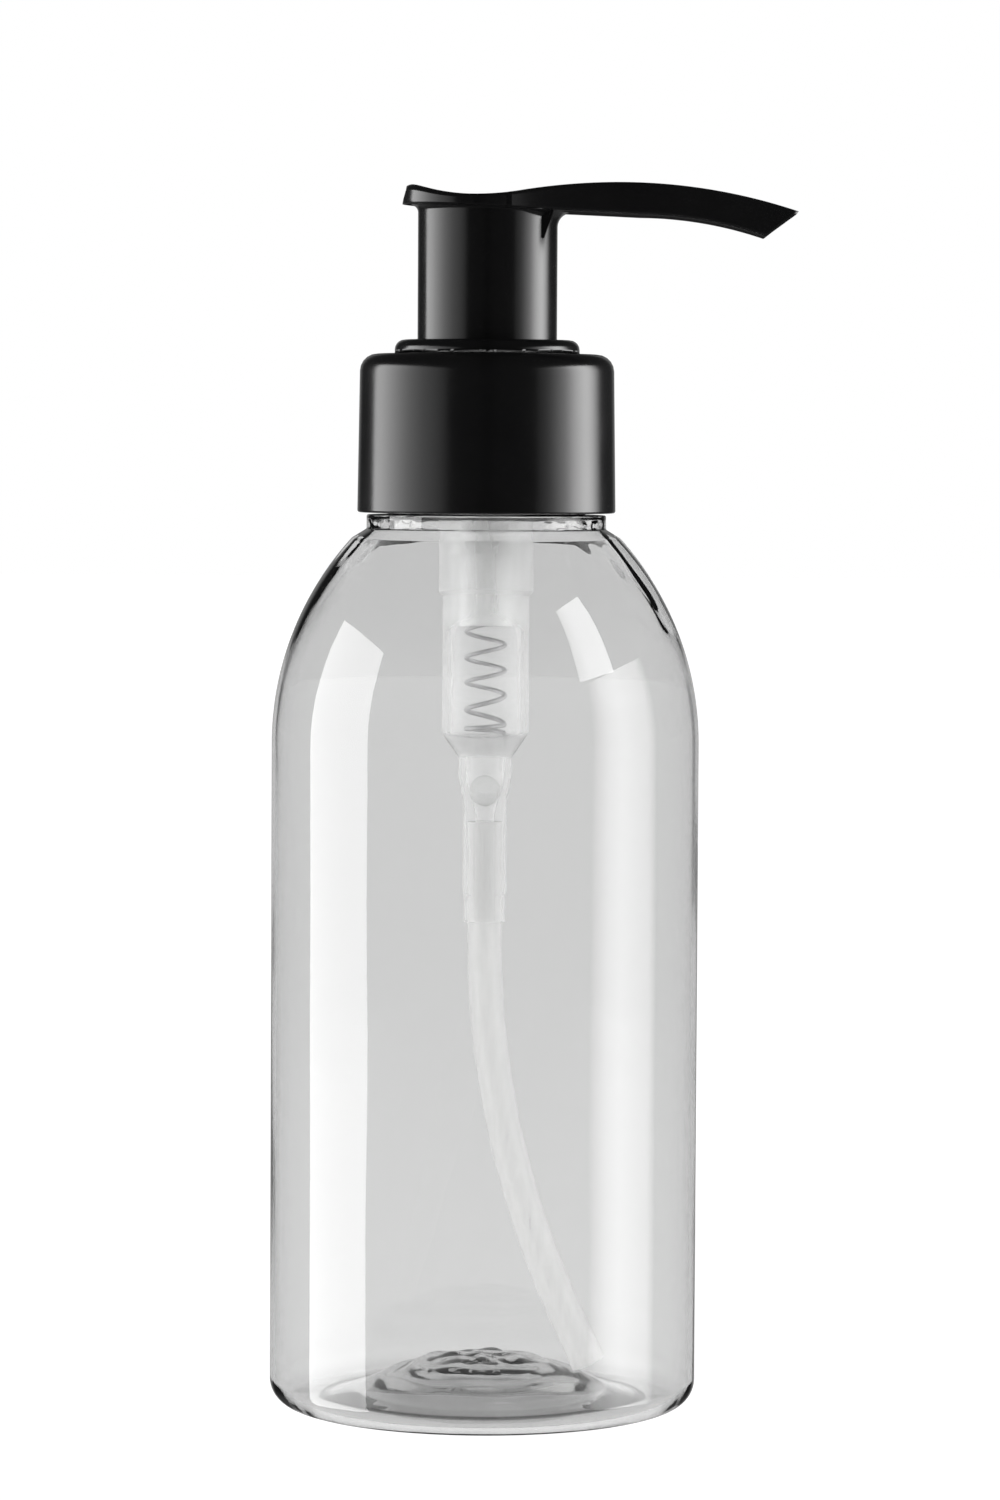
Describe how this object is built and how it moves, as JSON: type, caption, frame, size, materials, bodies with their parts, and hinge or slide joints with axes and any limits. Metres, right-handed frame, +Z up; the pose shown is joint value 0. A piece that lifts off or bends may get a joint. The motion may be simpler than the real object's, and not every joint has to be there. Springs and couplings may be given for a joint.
{
  "type": "pump oil bottle",
  "caption": "Clear round bottle with a black screw-on dispensing pump: pressing the swivelling spout head drives a sprung piston that draws oil up a bent dip tube.",
  "frame": {"origin": "on the bottle's axis, in the plane that it stands on", "axes": "+Z up along the bottle's axis, +X towards the spout as pictured"},
  "size_m": [0.0668, 0.0546, 0.1566],
  "materials": {
    "clear_plastic": "clear, gloss",
    "black_plastic": "moulded, gloss",
    "natural_plastic": "natural, translucent",
    "soft_plastic": "natural, translucent",
    "spring_steel": "drawn wire",
    "ball_glass": "polished"
  },
  "bodies": {
    "bottle": {"bottle": "clear_plastic"},
    "pump_body": {"housing": "natural_plastic", "gasket": "soft_plastic", "dip_tube": "soft_plastic", "lock_ring": "black_plastic"},
    "closure": {"closure": "black_plastic"},
    "return_spring": {"spring": "spring_steel"},
    "plunger": {"actuator_head": "black_plastic", "stem": "natural_plastic", "piston_seat": "natural_plastic"},
    "piston": {"piston": "soft_plastic"},
    "inlet_ball": {"inlet_ball": "ball_glass"}
  },
  "joints": [
    {"name": "pump_lift", "type": "slide", "parent": "bottle", "child": "pump_body", "axis": [0, 0, 1], "range_m": [0, 0.00635]},
    {"name": "closure_unscrew", "type": "hinge", "parent": "pump_body", "child": "closure", "pos_m": [0, 0, 0.1247], "axis": [0, 0, 1], "range_deg": [0, 540]},
    {"name": "pump_stroke", "type": "slide", "parent": "pump_body", "child": "return_spring", "axis": [0, 0, -1], "range_m": [0, 0.0125], "stiffness_N_per_m": 900, "springref_m": -0.008, "deforming": ["spring"]},
    {"name": "head_swivel", "type": "hinge", "parent": "return_spring", "child": "plunger", "pos_m": [0, 0, 0.145], "axis": [0, 0, 1], "continuous": true},
    {"name": "piston_slip", "type": "slide", "parent": "return_spring", "child": "piston", "axis": [0, 0, 1], "range_m": [0, 0.0012]},
    {"name": "ball_lift", "type": "slide", "parent": "pump_body", "child": "inlet_ball", "axis": [0, 0, 1], "range_m": [0, 0.00145]}
  ],
  "couplings": [
    {"joint": "closure_unscrew", "follows": "pump_lift", "rad_per_m": 1484.3}
  ]
}
